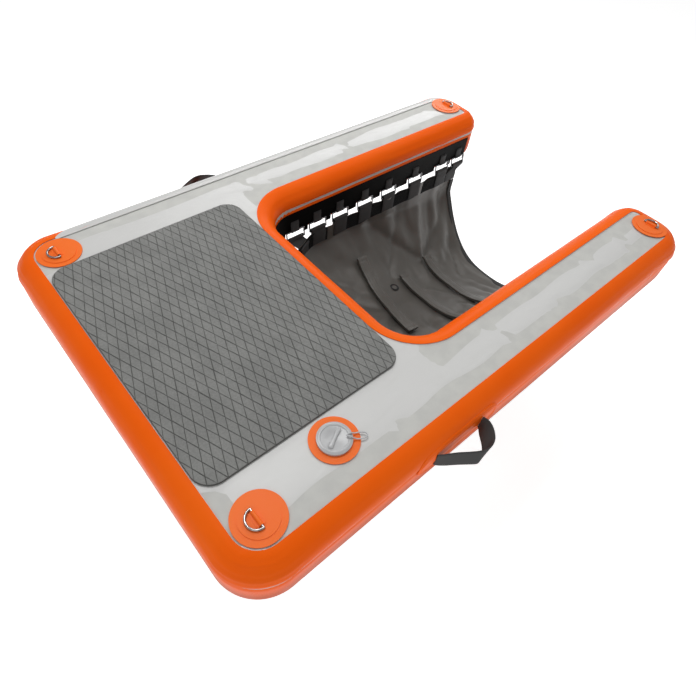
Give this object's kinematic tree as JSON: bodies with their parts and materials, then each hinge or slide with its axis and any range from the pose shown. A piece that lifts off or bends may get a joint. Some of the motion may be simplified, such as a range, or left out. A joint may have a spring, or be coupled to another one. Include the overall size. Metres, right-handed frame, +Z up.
{
  "type": "inflatable swim platform",
  "caption": "U-shaped inflatable drop-stitch swim platform with a foam deck pad, D-rings, air valve, carry handles and a fabric sling ramp hung between its arms.",
  "frame": {"origin": "middle of the deck's underside, halfway between the back edge of the board and the back wall of the gap", "axes": "+X towards the open ends of the two arms, +Y to the left looking along +X, +Z up out of the deck"},
  "size_m": [1.4518, 1.05, 0.4801],
  "materials": {
    "orange_pvc": "satin",
    "grey_pvc": "gloss",
    "black_pvc": "satin",
    "drop_stitch": "matte",
    "eva_foam": "matte",
    "valve_plastic": "satin",
    "valve_white": "satin",
    "seal_rubber": "matte",
    "tether_rubber": "satin",
    "stainless": "polished",
    "ring_steel": "satin",
    "black_webbing": "matte",
    "sling_cloth": "satin",
    "batten_plastic": "satin"
  },
  "bodies": {
    "platform": {"deck_core": "drop_stitch", "arm_core_near": "drop_stitch", "arm_core_far": "drop_stitch", "top_skin": "grey_pvc", "bottom_skin": "grey_pvc", "outer_sidewall": "orange_pvc", "inner_sidewall": "orange_pvc", "outer_edge_tape": "orange_pvc", "inner_edge_tape": "orange_pvc", "band_near": "black_pvc", "band_far": "black_pvc", "band_back": "black_pvc", "deck_pad": "eva_foam", "valve_patch": "orange_pvc", "valve_housing": "valve_plastic", "valve_nut": "valve_plastic", "valve_spring": "stainless", "cap_tether": "tether_rubber", "dring_base_back_near": "orange_pvc", "dring_base_back_far": "orange_pvc", "dring_base_tip_near": "orange_pvc", "dring_base_tip_far": "orange_pvc", "dring_cover_back_near": "orange_pvc", "dring_cover_back_far": "orange_pvc", "dring_cover_tip_near": "orange_pvc", "dring_cover_tip_far": "orange_pvc", "handle_patch_near": "orange_pvc", "handle_patch_far": "orange_pvc", "handle_anchor_near": "black_webbing", "handle_anchor_far": "black_webbing", "hanger_tabs_near": "black_webbing", "hanger_tabs_far": "black_webbing", "hanger_tabs_back": "black_webbing", "hanger_rings_near": "ring_steel", "hanger_rings_far": "ring_steel", "hanger_rings_back": "ring_steel", "sling_straps_near": "black_webbing", "sling_straps_far": "black_webbing", "sling_straps_back": "black_webbing", "sling_hem": "black_webbing", "sling_fabric": "sling_cloth", "edge_binding": "black_webbing", "batten_front": "batten_plastic", "batten_middle": "batten_plastic", "batten_rear": "batten_plastic", "sleeve_front": "sling_cloth", "sleeve_middle": "sling_cloth", "sleeve_rear": "sling_cloth", "drain_eyelet": "ring_steel"},
    "cap": {"valve_cap": "valve_plastic", "cap_gasket": "seal_rubber"},
    "plunger": {"valve_plunger": "valve_white", "valve_seal": "seal_rubber"},
    "handle_loop_near": {"handle_near": "black_webbing"},
    "handle_loop_far": {"handle_far": "black_webbing"},
    "ring_back_near": {"dring_back_near": "stainless"},
    "ring_back_far": {"dring_back_far": "stainless"},
    "ring_tip_near": {"dring_tip_near": "stainless"},
    "ring_tip_far": {"dring_tip_far": "stainless"}
  },
  "joints": [
    {"name": "cap_turn", "type": "hinge", "parent": "platform", "child": "cap", "pos_m": [0.002, -0.348, 0.152], "axis": [0, 0, 1], "range_deg": [0, 90]},
    {"name": "plunger_press", "type": "slide", "parent": "platform", "child": "plunger", "axis": [0, 0, -1], "range_m": [0, 0.006], "stiffness_N_per_m": 800, "springref_m": -0.004, "deforming": ["valve_spring"]},
    {"name": "dring_back_near_fold", "type": "hinge", "parent": "platform", "child": "ring_back_near", "pos_m": [-0.185, -0.38, 0.15705], "axis": [0, 1, 0], "range_deg": [0, 175]},
    {"name": "dring_back_far_fold", "type": "hinge", "parent": "platform", "child": "ring_back_far", "pos_m": [-0.185, 0.38, 0.15705], "axis": [0, 1, 0], "range_deg": [0, 175]},
    {"name": "dring_tip_near_fold", "type": "hinge", "parent": "platform", "child": "ring_tip_near", "pos_m": [1.105, -0.38, 0.15795], "axis": [0, -1, 0], "range_deg": [0, 175]},
    {"name": "dring_tip_far_fold", "type": "hinge", "parent": "platform", "child": "ring_tip_far", "pos_m": [1.105, 0.38, 0.15795], "axis": [0, -1, 0], "range_deg": [0, 175]},
    {"name": "handle_near_swing", "type": "hinge", "parent": "platform", "child": "handle_loop_near", "pos_m": [0.217, -0.49, 0.098], "axis": [1, 0, 0], "range_deg": [-45, 45]},
    {"name": "handle_far_swing", "type": "hinge", "parent": "platform", "child": "handle_loop_far", "pos_m": [0.217, 0.49, 0.098], "axis": [1, 0, 0], "range_deg": [-45, 45]}
  ]
}
